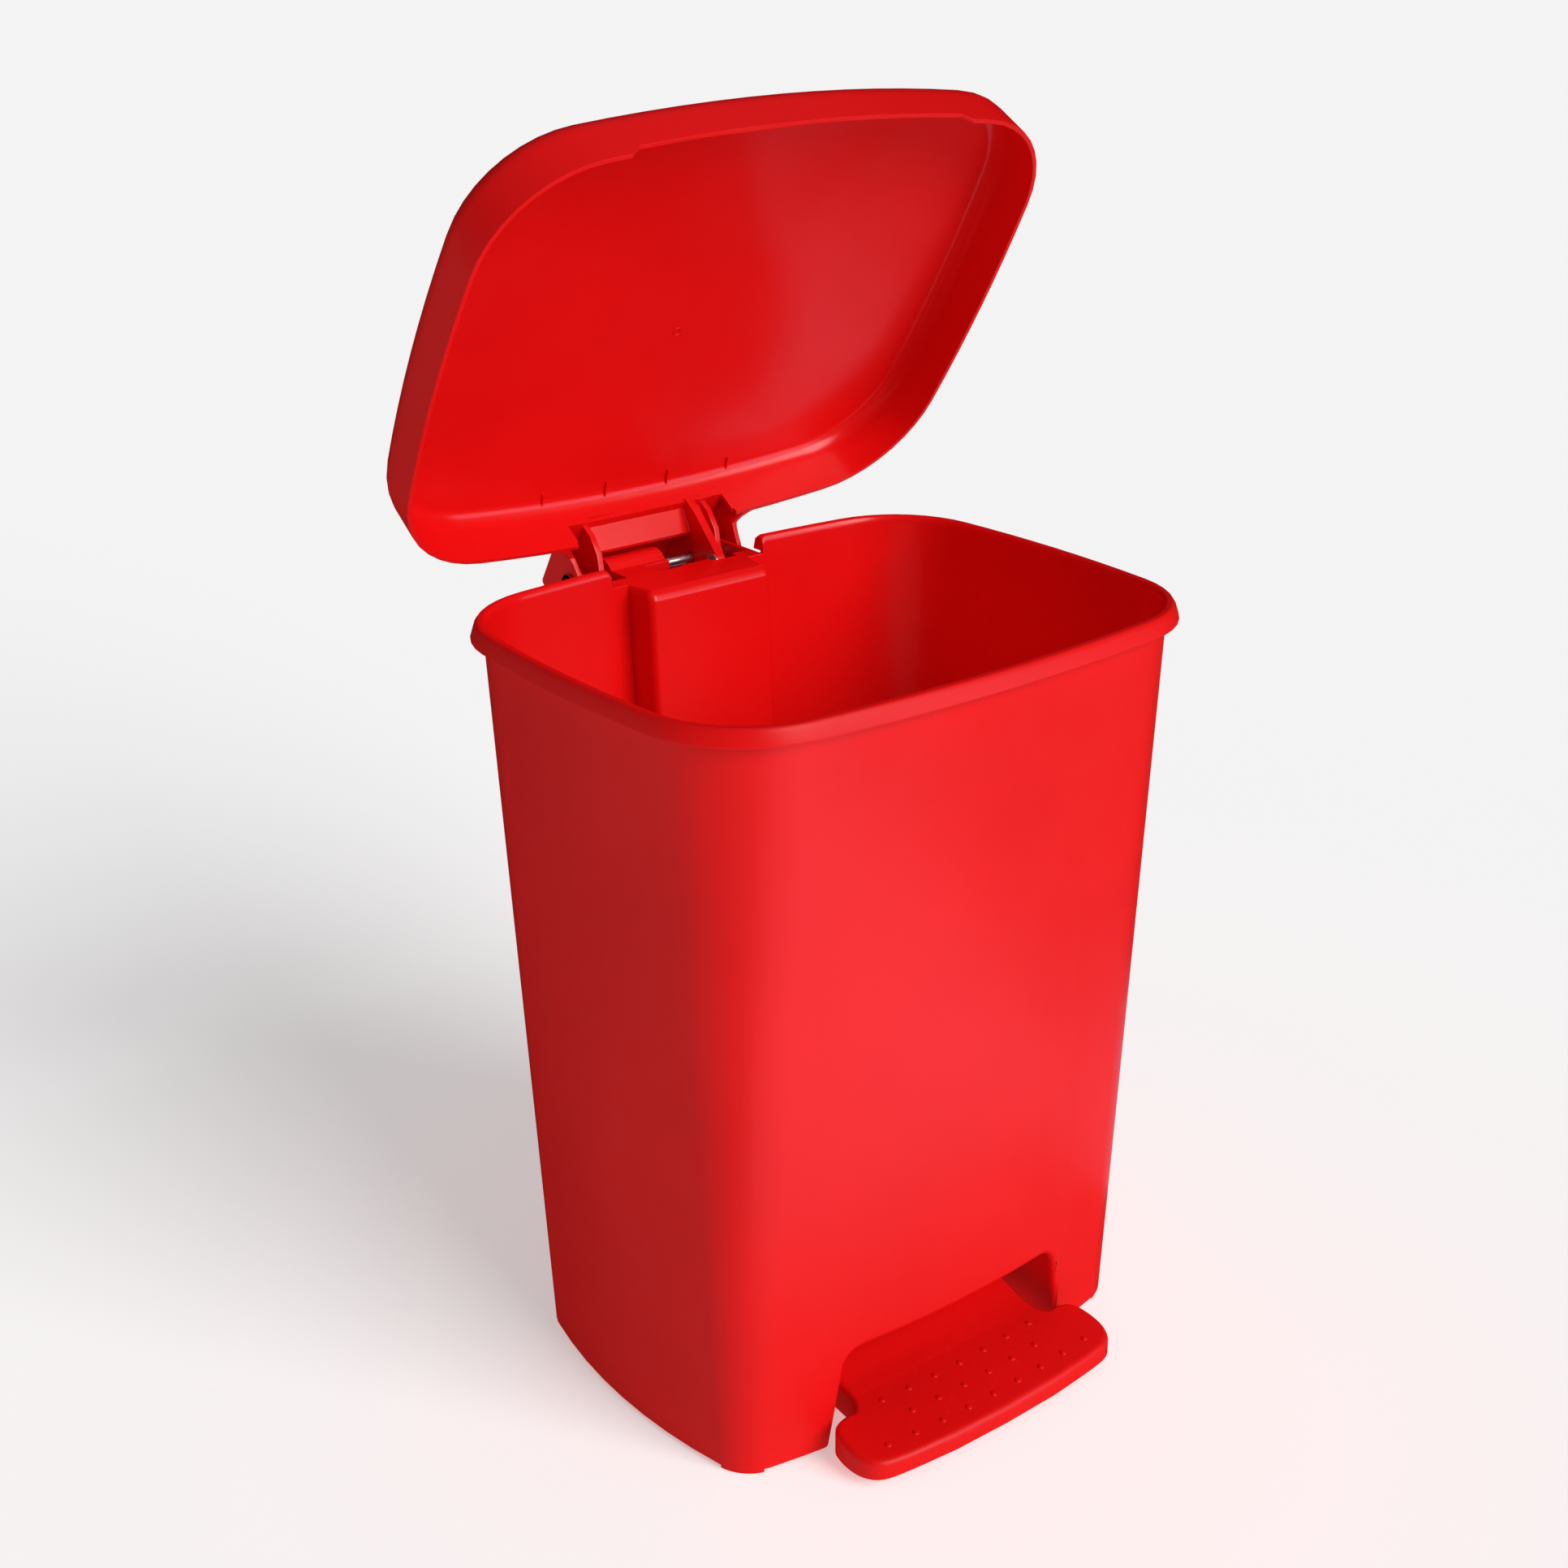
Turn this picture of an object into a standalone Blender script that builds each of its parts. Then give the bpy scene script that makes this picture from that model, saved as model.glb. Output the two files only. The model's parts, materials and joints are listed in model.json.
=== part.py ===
"""Step-on waste bin: a tapered bucket, a domed lid on a rear hinge, and a foot pedal whose
rear end pushes a steel rod up a closed channel to a crank on the lid.

Metres, +Z up, front of the bin towards -Y.  The bin stands as it does with the pedal held
down: lid open, pedal low, rod high.
"""
import math
from collections import namedtuple

import bmesh
import bpy
from mathutils import Vector

# ---------------------------------------------------------------- driving sizes
RIM_HEIGHT = 0.430          # top of the bucket's rim above the floor
RIM_HALF_WIDTH = 0.1647     # outer edge of the rim's top, left to right
RIM_HALF_DEPTH = 0.1301     # the same, front to back
BASE_HALF_WIDTH = 0.1476    # outer skin at the foot of the wall
BASE_HALF_DEPTH = 0.1098
WALL = 0.0025               # bucket wall
RIM_SKIRT = 0.009           # depth of the turned-down rim
RIM_FLARE = 0.0028          # how far the rim's lower edge stands out from its top
RIM_LIP = 0.0048            # width of the rim's flat top
FOOT_HEIGHT = 0.003         # the wall stops this far above the floor, on four pads
FLOOR_HEIGHT = 0.064        # top of the bucket's raised floor
SLIT = 0.0003               # gap between pieces that touch
RUN = 0.0003                # radial play of a pin in its hole

LID_SIDE_GAP = 0.0124       # lid edge outside the rim's top, left and right
LID_END_GAP = 0.0077        # the same, front and back
LID_OVERLAP = 0.011         # how far the closed lid's edge hangs below the rim's top
LID_WALL = 0.0025
LID_SKIRT = 0.021           # straight part of the lid's side
LID_RISE = 0.0445           # edge to crown, outside
LID_OPEN = math.radians(58)
RECESS_HALF_WIDTH = 0.104   # finger recess in the lid's front edge
RECESS_DEPTH = 0.0045

HINGE_BEHIND_RIM = 0.0289   # hinge axis behind the rim's rear edge
HINGE_BELOW_RIM = 0.016
NOTCH_HALF_WIDTH = 0.0515   # notch in the rear rim, and the hinge bracket's width
NOTCH_DEPTH = 0.010
PIN_RADIUS = 0.003
CHEEK = 0.003               # thickness of the bracket's two cheeks
KNUCKLE_RADIUS = 0.011
TONGUE_WALL = 0.0028
TONGUE_RISE = 0.018         # top of the lid's tongue above the lid's edge
EAR_X = 0.0385              # inner face of each of the lid's two hinge ears
EAR = 0.0035                # their thickness
CRANK_RADIUS = 0.02165      # hinge axis to the rod's hole in the lid's crank
CRANK_ANGLE = math.radians(6.6)   # above horizontal with the lid open
CRANK_X = 0.0295            # middle of the crank's thickness
CRANK_THICKNESS = 0.005
CRANK_HOLE = 0.0040

ROD_RADIUS = 0.002
ROD_X = 0.035
ROD_LEAD = 0.0016           # rod stands this far ahead of the middle of the crank's hole
HOOK_END = 0.0035           # how far the rod's two hooked ends stick out for their nuts
CHANNEL_HALF_WIDTH = 0.0385
COLUMN_DEPTH = 0.0251       # channel's column, inside the bucket, from the wall's outside

OPENING_TOP = 0.061         # pedal opening and the tunnel behind it
OPENING_HALF_TOP = 0.076
OPENING_HALF_FOOT = 0.084
OPENING_CORNER = 0.012
AXLE_Y = 0.0
AXLE_Z = 0.036
AXLE_RADIUS = 0.004
PAD_HALF_WIDTH = 0.090
PAD_FRONT = 0.0225          # pad's front edge in front of the rim
PAD_DEPTH = 0.044
ARM_GAP = 0.010             # between the pedal's arm and each side of its opening
LEVER_HALF_WIDTH = 0.044
PEDAL_WALL = 0.003

SCREW_RADIUS = 0.0015
SCREW_X = 0.025
SCREW_Z = 0.018
PEG_RADIUS = 0.004
PEG_INSET = 0.0095          # foot peg's middle inside the corner, along X and along Y

RED = (0.78, 0.012, 0.018)
STEEL = (0.62, 0.63, 0.65)

Outline = namedtuple("Outline", "half_w half_d r_front r_side r_corner")
RIM = Outline(RIM_HALF_WIDTH, RIM_HALF_DEPTH, 1.000, 0.736, 0.0588)
FOOT = Outline(BASE_HALF_WIDTH, BASE_HALF_DEPTH, 0.578, 0.345, 0.0258)
LID = Outline(RIM_HALF_WIDTH + LID_SIDE_GAP, RIM_HALF_DEPTH + LID_END_GAP, 0.937, 0.872, 0.0654)

# ---------------------------------------------------------------- places worked out from them
SKIRT_Z = RIM_HEIGHT - RIM_SKIRT
SHELF_Z = RIM_HEIGHT - NOTCH_DEPTH
HINGE_Y = RIM_HALF_DEPTH + HINGE_BEHIND_RIM
HINGE_Z = RIM_HEIGHT - HINGE_BELOW_RIM
LEDGE_Y = RIM_HALF_DEPTH + 0.0039          # rear edge of the ledge under the notch
TUNNEL_END = BASE_HALF_DEPTH - 0.0098        # clears the rear wall's bow at the tunnel's corners
JACKET = WALL                              # tunnel walls

CRANK_TRAVEL = CRANK_RADIUS * (math.sin(CRANK_ANGLE) - math.sin(CRANK_ANGLE - LID_OPEN))
LEVER_Y = TUNNEL_END - 0.0070              # rod's pivot on the pedal's rear end
LEVER_Z = AXLE_Z + CRANK_TRAVEL / 2
CRANK_Y = HINGE_Y - CRANK_RADIUS * math.cos(CRANK_ANGLE)
CRANK_Z = HINGE_Z + CRANK_RADIUS * math.sin(CRANK_ANGLE)

PAD_Y = -(RIM_HALF_DEPTH + PAD_FRONT)
ARM_HALF_WIDTH = OPENING_HALF_TOP - ARM_GAP
LID_REAR = LID_END_GAP + RIM_HALF_DEPTH    # rear of the closed lid's skirt
TONGUE_REAR = HINGE_Y + 0.026
COVER_TOP = HINGE_Z - 0.020
HOOD_Y = HINGE_Y - 0.007

# The bin's own centre line is the bucket's; the origin is under the middle of the whole.
TONGUE_BACK = TONGUE_REAR - 0.007 - HINGE_Y      # tongue's rear top corner from the hinge
TONGUE_UP = RIM_HEIGHT - LID_OVERLAP + TONGUE_RISE - HINGE_Z
REAR_REACH = HINGE_Y + TONGUE_BACK * math.cos(LID_OPEN) + TONGUE_UP * math.sin(LID_OPEN)
ORIGIN_Y = (PAD_Y + REAR_REACH) / 2


# ---------------------------------------------------------------- outlines
def inset(outline, distance):
    return Outline(*(value - distance for value in outline))


def between(low, high, share):
    return Outline(*(a + (b - a) * share for a, b in zip(low, high)))


def wall_at(z):
    """Outer outline of the bucket's wall at height z."""
    top = inset(RIM, RIM_LIP - 0.0008)
    return between(FOOT, top, (z - FOOT_HEIGHT) / (SKIRT_Z - FOOT_HEIGHT))


def wall_rear(z):
    return wall_at(z).half_d


def ring(outline, z, scale=1.0, side=4, corner=9, end=6):
    """Closed ring of points: four bowed sides joined by four round corners."""
    a, b, r_front, r_side, r_corner = outline
    front = Vector((0.0, b - r_front))
    flank = Vector((a - r_side, 0.0))
    reach_front = r_front - r_corner
    reach_side = r_side - r_corner
    apart = (flank - front).length
    along = (reach_front ** 2 - reach_side ** 2 + apart ** 2) / (2 * apart)
    off = math.sqrt(reach_front ** 2 - along ** 2)
    unit = (flank - front) / apart
    centre = front + unit * along + Vector((-unit.y, unit.x)) * off
    if centre.x + centre.y < 0:
        centre = front + unit * along - Vector((-unit.y, unit.x)) * off
    low = math.atan2(centre.y - flank.y, centre.x - flank.x)
    high = math.atan2(centre.y - front.y, centre.x - front.x)
    quarter = [flank + r_side * turn(low * i / side) for i in range(side)]
    quarter += [centre + r_corner * turn(low + (high - low) * i / corner) for i in range(corner)]
    quarter += [front + r_front * turn(high + (math.pi / 2 - high) * i / end) for i in range(end)]
    top = Vector((0.0, b))
    half = quarter + [top] + [Vector((-p.x, p.y)) for p in reversed(quarter)]
    whole = half + [Vector((p.x, -p.y)) for p in reversed(half[1:-1])]
    return [Vector((p.x * scale, p.y * scale, z)) for p in whole]


def turn(angle):
    return Vector((math.cos(angle), math.sin(angle)))


def arc(y, z, radius, start, stop, steps):
    """Points of an arc in the YZ plane, angles in degrees from +Y towards +Z."""
    points = []
    for i in range(steps + 1):
        angle = math.radians(start + (stop - start) * i / steps)
        points.append((y + radius * math.cos(angle), z + radius * math.sin(angle)))
    return points


# ---------------------------------------------------------------- solids
def solid(name, bm):
    bmesh.ops.remove_doubles(bm, verts=bm.verts, dist=1e-7)
    bmesh.ops.recalc_face_normals(bm, faces=bm.faces)
    mesh = bpy.data.meshes.new(name)
    bm.to_mesh(mesh)
    bm.free()
    obj = bpy.data.objects.new(name, mesh)
    bpy.context.scene.collection.objects.link(obj)
    return obj


def loft(name, rings):
    """Closed solid through rings of equal length, capped at both ends."""
    bm = bmesh.new()
    rows = [[bm.verts.new(p) for p in points] for points in rings]
    for low, high in zip(rows, rows[1:]):
        for i in range(len(low)):
            j = (i + 1) % len(low)
            bm.faces.new((low[i], low[j], high[j], high[i]))
    bm.faces.new(list(reversed(rows[0])))
    bm.faces.new(rows[-1])
    return solid(name, bm)


def prism(name, axis, points, low, high):
    """Flat outline pushed out along an axis: (y, z) points along X, (x, y) points along Z."""
    def place(p, q, at):
        return (at, p, q) if axis == "X" else (p, q, at)
    bm = bmesh.new()
    first = [bm.verts.new(place(p, q, low)) for p, q in points]
    last = [bm.verts.new(place(p, q, high)) for p, q in points]
    bm.faces.new(first)
    bm.faces.new(list(reversed(last)))
    for i in range(len(points)):
        j = (i + 1) % len(points)
        bm.faces.new((first[i], last[i], last[j], first[j]))
    return solid(name, bm)


def box(name, low, high):
    corners = [(low[0], low[1]), (high[0], low[1]), (high[0], high[1]), (low[0], high[1])]
    return prism(name, "Z", corners, low[2], high[2])


def drum(name, y, z, radius, low, high, sides=16):
    """Cylinder along X."""
    return prism(name, "X", arc(y, z, radius, 0, 360 - 360 / sides, sides - 1), low, high)


def post(name, x, y, radius, low, high, sides=16):
    """Cylinder along Z."""
    return prism(name, "Z", arc(x, y, radius, 0, 360 - 360 / sides, sides - 1), low, high)


def combine(target, tools, operation):
    """Apply exact Booleans of the tools to the target, and delete the tools."""
    for tool in tools:
        modifier = target.modifiers.new(operation.lower(), "BOOLEAN")
        modifier.operation = operation
        modifier.solver = "EXACT"
        modifier.object = tool
        bpy.context.view_layer.update()
        shape = bpy.data.meshes.new_from_object(
            target.evaluated_get(bpy.context.evaluated_depsgraph_get()))
        target.modifiers.clear()
        target.data = shape
        bpy.data.objects.remove(tool)
    return target


def cut(target, *tools):
    return combine(target, tools, "DIFFERENCE")


def join(target, *tools):
    return combine(target, tools, "UNION")


def keep(target, *tools):
    return combine(target, tools, "INTERSECT")


def material(name, colour, roughness, metallic):
    mat = bpy.data.materials.new(name)
    mat.use_nodes = True
    shader = mat.node_tree.nodes["Principled BSDF"]
    shader.inputs["Base Color"].default_value = (*colour, 1.0)
    shader.inputs["Roughness"].default_value = roughness
    shader.inputs["Metallic"].default_value = metallic
    return mat


def finish(obj, mat, name=None):
    """Name the piece and its mesh, give it its material, and smooth its round faces."""
    if name:
        obj.name = name
    obj.data.name = obj.name
    obj.data.materials.clear()
    obj.data.materials.append(mat)
    obj.data.shade_smooth()
    obj.data.set_sharp_from_angle(angle=math.radians(32))
    obj.parent = centre
    return obj


def hang(obj, y, z, angle=0.0):
    """Put a moving piece's origin on its joint's axis, then turn it about that axis."""
    for vertex in obj.data.vertices:
        vertex.co.y -= y
        vertex.co.z -= z
    obj.location = (0.0, y, z)
    obj.rotation_euler = (angle, 0.0, 0.0)


# ---------------------------------------------------------------- bucket
def tunnel_outline(extra, foot_z):
    """Pedal tunnel across the bin: upright sides that spread downwards, round top corners."""
    top = OPENING_TOP + (extra and WALL / 2)
    half = OPENING_HALF_TOP + extra
    slope = (OPENING_HALF_FOOT - OPENING_HALF_TOP) / OPENING_TOP
    foot_half = half + slope * (top - foot_z)
    corner = arc(half - OPENING_CORNER, top - OPENING_CORNER, OPENING_CORNER, 0, 90, 4)
    right = [(foot_half, foot_z)] + corner
    return right + [(-x, z) for x, z in reversed(right)]


def tunnel(name, extra, foot_z, front, rear):
    obj = prism(name, "X", [(x, z) for x, z in tunnel_outline(extra, foot_z)], -rear, -front)
    for vertex in obj.data.vertices:
        x, y, z = vertex.co
        vertex.co = (y, -x, z)
    return obj


def column_front(z):
    return wall_rear(z) - COLUMN_DEPTH


def make_bucket(mat):
    rim_edge = inset(RIM, -RIM_FLARE)
    shell = loft("bucket_body", [
        ring(FOOT, FOOT_HEIGHT),
        ring(wall_at(SKIRT_Z), SKIRT_Z),
        ring(rim_edge, SKIRT_Z),
        ring(inset(RIM, -RIM_FLARE * 0.9), SKIRT_Z + 0.0012),
        ring(inset(RIM, -RIM_FLARE * 0.3), RIM_HEIGHT - 0.0026),
        ring(inset(RIM, 0.0002), RIM_HEIGHT - 0.0010),
        ring(inset(RIM, 0.0008), RIM_HEIGHT - 0.0003),
        ring(inset(RIM, 0.0018), RIM_HEIGHT),
    ])

    inside = inset(wall_at(FLOOR_HEIGHT), WALL)
    neck_z = RIM_HEIGHT - 0.004
    hollow = loft("hollow", [
        ring(inset(inside, 0.004), FLOOR_HEIGHT),
        ring(inset(wall_at(FLOOR_HEIGHT + 0.004), WALL), FLOOR_HEIGHT + 0.004),
        ring(inset(wall_at(neck_z), WALL), neck_z),
        ring(inset(RIM, RIM_LIP + 0.0003), RIM_HEIGHT - 0.0012),
        ring(inset(RIM, RIM_LIP - 0.0002), RIM_HEIGHT - 0.0004),
        ring(inset(RIM, RIM_LIP - 0.0012), RIM_HEIGHT),
        ring(inset(RIM, RIM_LIP - 0.0012), RIM_HEIGHT + 0.01),
    ])
    column_half = CHANNEL_HALF_WIDTH + WALL
    column = prism("column", "X", [
        (column_front(0.0), 0.0),
        (column_front(SHELF_Z - 0.004), SHELF_Z - 0.004),
        (column_front(SHELF_Z) + 0.003, SHELF_Z),
        (HINGE_Y, SHELF_Z),
        (HINGE_Y, 0.0),
    ], -column_half, column_half)
    cut(hollow, column)
    cut(shell, hollow)

    # underside: open below the raised floor, outside the pedal tunnel
    roof = FLOOR_HEIGHT - WALL
    under = loft("under", [
        ring(inset(wall_at(FOOT_HEIGHT), WALL), -0.01),
        ring(inset(wall_at(FOOT_HEIGHT), WALL), FOOT_HEIGHT),
        ring(inset(wall_at(roof), WALL), roof),
    ])
    cut(under, tunnel("jacket", JACKET, -0.02, -RIM_HALF_DEPTH - 0.05, TUNNEL_END + WALL))
    cut(shell, under)
    skirt_end = BASE_HALF_DEPTH - 0.010
    skirts = keep(tunnel("skirts", JACKET, 0.0005, -skirt_end, skirt_end),
                  box("slab", (-0.2, -0.2, 0.0), (0.2, 0.2, FOOT_HEIGHT + 0.004)))
    join(shell, skirts)
    for x, y in peg_places():
        join(shell, post("post", x, y, PEG_RADIUS * 2, FOOT_HEIGHT, roof + WALL / 2))
    cut(shell, tunnel("tunnel", 0.0, -0.02, -RIM_HALF_DEPTH - 0.05, TUNNEL_END))

    # rod channel: open into the tunnel below and out of the rear wall, closed by the cover
    inner_wall = wall_rear(SHELF_Z) - WALL
    cut(shell, prism("channel", "X", [
        (column_front(OPENING_TOP) + WALL, OPENING_TOP - 0.006),
        (TUNNEL_END - 0.001, OPENING_TOP - 0.006),
        (TUNNEL_END - 0.001, OPENING_TOP - 0.020),
        (HINGE_Y, OPENING_TOP - 0.020),
        (HINGE_Y, SHELF_Z - 0.009),
        (inner_wall, SHELF_Z - 0.009),
        (inner_wall, SHELF_Z - WALL),
        (column_front(SHELF_Z) + WALL, SHELF_Z - WALL),
    ], -CHANNEL_HALF_WIDTH, CHANNEL_HALF_WIDTH))

    # hinge bracket: ledge, one middle knuckle and two cheeks, trimmed level with the notch
    half = NOTCH_HALF_WIDTH
    root = inner_wall + WALL * 0.4
    over = SHELF_Z + 0.003
    join(shell, box("ledge", (-half, root, SHELF_Z - 0.0075), (half, LEDGE_Y, over)))
    join(shell, box("saddle", (-0.034, LEDGE_Y - 0.003, SHELF_Z - 0.0105),
                    (0.003, HINGE_Y - 0.004, over)))
    for side in (-1, 1):
        low, high = sorted((side * (half + SLIT / 3), side * (half - CHEEK)))
        join(shell, prism("cheek", "X",
                          [(root + 0.0004, over), (root + 0.0004, SHELF_Z - 0.040)]
                          + arc(HINGE_Y, HINGE_Z, KNUCKLE_RADIUS, -75, 50, 10), low, high))
    trim = half + SLIT / 2
    cut(shell, box("notch", (-trim, RIM_HALF_DEPTH - 0.03, SHELF_Z),
                   (trim, HINGE_Y + 0.03, RIM_HEIGHT + 0.01)))
    join(shell, drum("knuckle", HINGE_Y, HINGE_Z, KNUCKLE_RADIUS, -0.0338, 0.0028, sides=24))
    cut(shell, box("slot", (-0.0135, LEDGE_Y - 0.0015, SHELF_Z - 0.03),
                   (0.0031, HINGE_Y - KNUCKLE_RADIUS * 1.2, SHELF_Z + 0.01)))
    crank_low = CRANK_X - CRANK_THICKNESS / 2 - HOOK_END - 0.0015
    cut(shell, box("crank_slot", (crank_low, CRANK_Y - 0.0082, SHELF_Z - 0.02),
                   (CHANNEL_HALF_WIDTH, HINGE_Y, SHELF_Z + 0.01)))
    cut(shell, drum("pin_hole", HINGE_Y, HINGE_Z, PIN_RADIUS + RUN, -0.07, 0.07))
    cut(shell, drum("axle_hole", AXLE_Y, AXLE_Z, AXLE_RADIUS + RUN, -0.095, 0.095))
    for x, y in peg_places():
        cut(shell, post("peg_hole", x, y, PEG_RADIUS + RUN, -0.01, FOOT_HEIGHT + 0.014))
    for x in (-SCREW_X, SCREW_X):
        cut(shell, screw_hole(x, SCREW_RADIUS + 0.0002))
    return finish(shell, mat)


def screw_hole(x, radius):
    hole = post("screw_hole", x, -SCREW_Z, radius, TUNNEL_END - 0.01, BASE_HALF_DEPTH + 0.01, 12)
    return lay_back(hole)


def lay_back(obj):
    """Turn a piece made along +Z so that it lies along +Y, its own Y becoming -Z."""
    for vertex in obj.data.vertices:
        x, y, z = vertex.co
        vertex.co = (x, z, -y)
    return obj


def peg_places():
    """Middles of the four foot pegs, inside the corners of the wall's foot."""
    corner = max(ring(FOOT, 0.0), key=lambda p: p.x + p.y)
    x, y = corner.x - PEG_INSET, corner.y - PEG_INSET
    return [(sx * x, sy * y) for sy in (-1, 1) for sx in (-1, 1)]


def make_feet(mat):
    """Corner pads: a crescent under the wall's corner and a peg pushed up into a post."""
    rows = [p.xy for p in ring(inset(FOOT, 0.0012), 0.0)]
    for index, (x, y) in enumerate(peg_places()):
        way = Vector((math.copysign(1.0, x), math.copysign(1.0, y)))
        middle = Vector((x, y)) - way * PEG_RADIUS * 1.6
        corner = sorted(rows, key=lambda p: -p.dot(way))[:9]
        corner.sort(key=lambda p: -way.angle_signed(p - middle))
        points = [tuple(p) for p in corner + [middle]]
        pad = prism(f"foot_pad_{index + 1}", "Z", points, 0.0, FOOT_HEIGHT - SLIT)
        peg = post("peg", x, y, PEG_RADIUS, (FOOT_HEIGHT - SLIT) / 2, FOOT_HEIGHT + 0.012)
        finish(join(pad, peg), mat)


# ---------------------------------------------------------------- lid
def make_lid(mat):
    """Modelled closed, then swung open about the hinge."""
    edge = RIM_HEIGHT - LID_OVERLAP
    bend = 0.015
    draft = 0.0007
    shoulder = [(0.0, 0.0), (draft, LID_SKIRT)]
    shoulder += [(draft + bend - y, z) for y, z in arc(0.0, LID_SKIRT, bend, 0, 81, 7)[1:]]
    lining = [(LID_WALL, 0.0), (LID_WALL + draft, LID_SKIRT),
              (LID_WALL + 0.0014, LID_SKIRT + 0.0035), (LID_WALL + 0.0030, LID_SKIRT + 0.0065),
              (0.0078, LID_SKIRT + 0.0090), (0.0107, LID_SKIRT + 0.0102)]
    crown = (0.92, 0.8, 0.65, 0.5, 0.35, 0.2, 0.08)

    def dome(profile, top):
        rings = [ring(inset(LID, d), edge + u) for d, u in profile]
        last_inset, last_u = profile[-1]
        for scale in crown:
            u = last_u + (top - last_u) * (1 - scale ** 2)
            rings.append(ring(inset(LID, last_inset), edge + u, scale))
        return rings
    outside = dome(shoulder, LID_RISE)
    within = dome(lining, LID_RISE - LID_WALL)
    shell = loft("lid", list(reversed(within)) + outside)

    # tongue: a hollow box over the hinge, its side walls running down round the pin
    wide = NOTCH_HALF_WIDTH + 0.0011 + TONGUE_WALL
    top = edge + TONGUE_RISE
    fillet = 0.016
    front = LID_REAR - (wide + fillet) ** 2 / (2 * LID.r_front) - LID_WALL / 2
    cut(shell, box("relief", (-wide + TONGUE_WALL / 2, LID_REAR - 0.008, edge - 0.01),
                   (wide - TONGUE_WALL / 2, LID_REAR + 0.002, edge + 0.003)))
    window = wide - TONGUE_WALL
    cut(shell, box("window", (-window, LID_REAR - 0.008, edge - 0.01),
                   (window, LID_REAR + 0.002, top - TONGUE_WALL)))

    def plan(shrink):
        """Outline from above: fillets out of the skirt, straight sides, round rear corners."""
        mid_x, mid_y = wide + fillet, front + 0.0006 + fillet
        side = [(mid_x, front - shrink * 3)]
        for i in range(5):
            angle = math.radians(270 - 90 * i / 4)
            side.append((mid_x + (fillet + shrink) * math.cos(angle),
                         mid_y + (fillet + shrink) * math.sin(angle)))
        half, rear = wide - shrink, TONGUE_REAR - shrink
        side += [(half, rear - 0.006), (half - 0.0018, rear - 0.0018), (half - 0.006, rear)]
        return side + [(-x, y) for x, y in reversed(side)]

    flank = [(front - 0.001, edge), (front - 0.001, top), (TONGUE_REAR - 0.007, top),
             (TONGUE_REAR - 0.002, top - 0.004), (TONGUE_REAR + 0.001, top - 0.010),
             (TONGUE_REAR + 0.001, HINGE_Z - 0.004)]
    flank += arc(HINGE_Y, HINGE_Z, KNUCKLE_RADIUS + 0.001, -45, -165, 6)
    flank += [(LID_REAR + 0.005, edge)]
    tongue = keep(prism("tongue", "Z", plan(0.0), HINGE_Z - 0.03, top + 0.01),
                  prism("flank", "X", flank, -0.1, 0.1))
    cut(tongue, prism("room", "Z", plan(TONGUE_WALL), HINGE_Z - 0.04, top - TONGUE_WALL))
    join(shell, tongue)
    # the skirt between the ears slants back over the bucket's knuckle
    join(shell, prism("panel", "X", [
        (LID_REAR - 0.0022, edge + 0.020),
        (LID_REAR + 0.0080, edge + 0.003),
        (LID_REAR + 0.0104, edge + 0.003),
        (LID_REAR - 0.0002, edge + 0.020),
    ], -EAR_X - 0.0015, EAR_X + 0.0015))

    # two hinge ears and the crank, hung from the tongue's roof
    roof = top - TONGUE_WALL / 2
    skin = LID_REAR - LID_WALL * 0.6
    ear = [(skin, roof), (skin, edge + 0.008), (LID_REAR + 0.003, edge - 0.003)]
    ear += arc(HINGE_Y, HINGE_Z, KNUCKLE_RADIUS + 0.001, 200, 345, 7) + [(TONGUE_REAR - 0.009, roof)]
    for side in (-1, 1):
        low, high = sorted((side * EAR_X, side * (EAR_X + EAR)))
        join(shell, prism("ear", "X", ear, low, high))
    closed = CRANK_ANGLE - LID_OPEN
    boss_y = HINGE_Y - CRANK_RADIUS * math.cos(closed)
    boss_z = HINGE_Z + CRANK_RADIUS * math.sin(closed)
    crank = [(TONGUE_REAR - 0.018, roof), (LID_REAR - 0.0055, roof),
             (LID_REAR - 0.005, edge + 0.006)]
    crank += arc(boss_y, boss_z, CRANK_HOLE + 0.0022, 175, 330, 8)
    crank += arc(HINGE_Y, HINGE_Z, KNUCKLE_RADIUS - 0.001, 300, 370, 5)
    low, high = CRANK_X - CRANK_THICKNESS / 2, CRANK_X + CRANK_THICKNESS / 2
    join(shell, prism("crank", "X", crank, low, high))
    cut(shell, drum("crank_hole", boss_y, boss_z, CRANK_HOLE, low - 0.001, high + 0.001))
    cut(shell, drum("pin_hole", HINGE_Y, HINGE_Z, PIN_RADIUS + RUN, -0.07, 0.07))

    # finger recess along the front edge
    reach = -LID_REAR - 0.01
    recess = [(-RECESS_HALF_WIDTH, edge - 0.01), (RECESS_HALF_WIDTH, edge - 0.01),
              (RECESS_HALF_WIDTH, edge), (RECESS_HALF_WIDTH - 0.006, edge + RECESS_DEPTH),
              (-RECESS_HALF_WIDTH + 0.006, edge + RECESS_DEPTH), (-RECESS_HALF_WIDTH, edge)]
    cutter = prism("recess", "X", recess, 0.0, 0.06)
    for vertex in cutter.data.vertices:
        x, y, z = vertex.co
        vertex.co = (y, reach + x, z)
    flip(cutter)
    cut(shell, cutter)
    hang(shell, HINGE_Y, HINGE_Z, -LID_OPEN)
    return finish(shell, mat)


def flip(obj):
    """Face a remapped solid outwards again."""
    bm = bmesh.new()
    bm.from_mesh(obj.data)
    bmesh.ops.recalc_face_normals(bm, faces=bm.faces)
    bm.to_mesh(obj.data)
    bm.free()


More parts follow.
